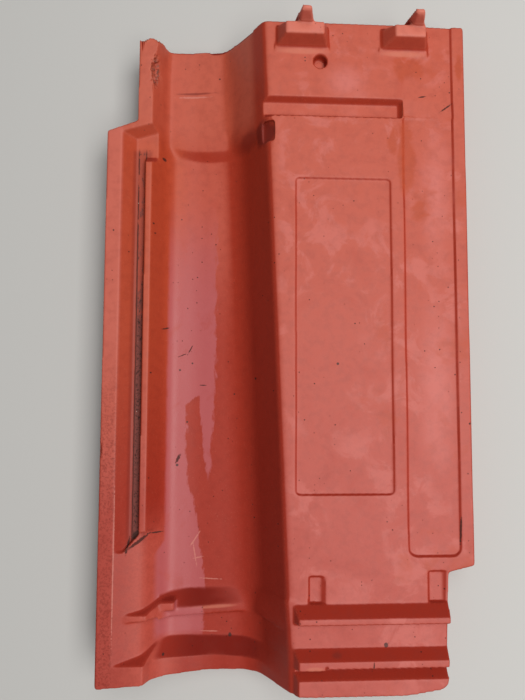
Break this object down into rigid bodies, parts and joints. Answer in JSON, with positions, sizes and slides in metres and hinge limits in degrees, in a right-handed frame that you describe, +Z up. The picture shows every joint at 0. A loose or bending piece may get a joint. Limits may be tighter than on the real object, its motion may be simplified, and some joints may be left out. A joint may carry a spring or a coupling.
{
  "type": "clay roof tile",
  "caption": "Interlocking clay roof tile with a flat pan and a hollow roll, lying underside up.",
  "frame": {"origin": "centre of the tile's box, on the floor that it lies on", "axes": "+Y from the tail to the head, +X from the cover flange to the side rib, +Z up, with the underside facing up"},
  "size_m": [0.2534, 0.455, 0.0643],
  "materials": {
    "fired_clay": "matte"
  },
  "bodies": {
    "root": {"roof_tile": "fired_clay"}
  },
  "joints": []
}
